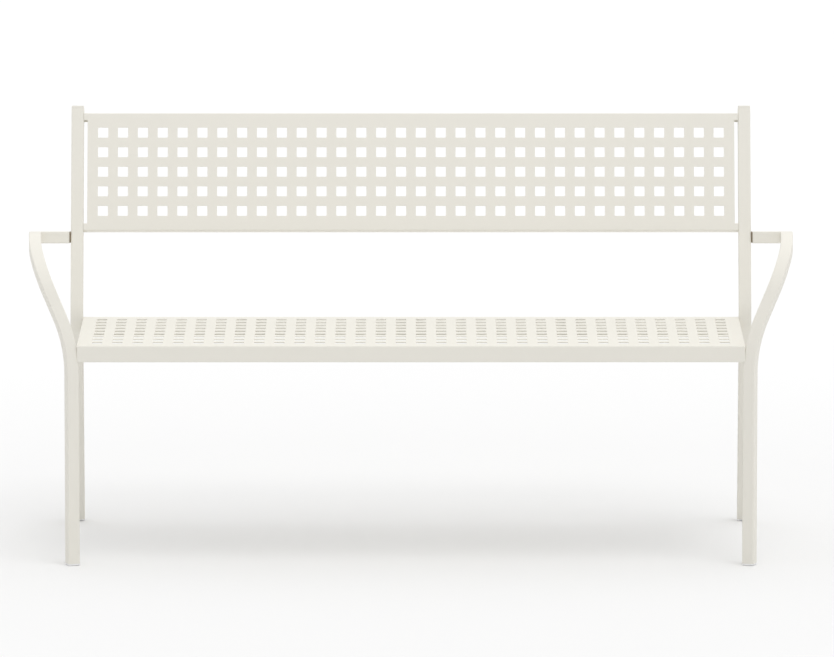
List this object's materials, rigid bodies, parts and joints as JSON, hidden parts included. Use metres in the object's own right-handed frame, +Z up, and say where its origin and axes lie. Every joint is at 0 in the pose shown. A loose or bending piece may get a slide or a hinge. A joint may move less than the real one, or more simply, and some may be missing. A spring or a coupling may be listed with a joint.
{
  "type": "garden bench",
  "caption": "Welded steel garden bench with a perforated seat and back, bent square-tube legs that run on into the arms, and plastic glides.",
  "frame": {"origin": "on the floor, centre of the bench's footprint box", "axes": "+X along the bench's length, +Y towards its back, +Z up"},
  "size_m": [1.5356, 0.568, 0.854],
  "materials": {
    "frame_paint": "matt cream powder coat",
    "sheet_paint": "matt cream powder coat",
    "stiffener_paint": "matt cream powder coat",
    "cap_plastic": "satin cream",
    "glide_plastic": "satin white",
    "spacer_plastic": "matt brown-grey"
  },
  "bodies": {
    "root": {"seat_pan": "sheet_paint", "back_panel": "sheet_paint", "front_leg_arm_right": "frame_paint", "front_leg_arm_left": "frame_paint", "arm_bridge_right": "frame_paint", "arm_bridge_left": "frame_paint", "arm_end_cap_right": "frame_paint", "arm_end_cap_left": "frame_paint", "arm_spacer_right": "spacer_plastic", "arm_spacer_left": "spacer_plastic", "rear_leg_upright_right": "frame_paint", "rear_leg_upright_left": "frame_paint", "upright_cap_right": "cap_plastic", "upright_cap_left": "cap_plastic", "foot_glide_front_right": "glide_plastic", "foot_glide_front_left": "glide_plastic", "foot_glide_rear_right": "glide_plastic", "foot_glide_rear_left": "glide_plastic", "seat_end_rail_right": "stiffener_paint", "seat_end_rail_left": "stiffener_paint", "seat_gusset_right": "stiffener_paint", "seat_gusset_left": "stiffener_paint", "seat_rib_left": "stiffener_paint", "seat_rib_middle": "stiffener_paint", "seat_rib_right": "stiffener_paint"}
  },
  "joints": []
}
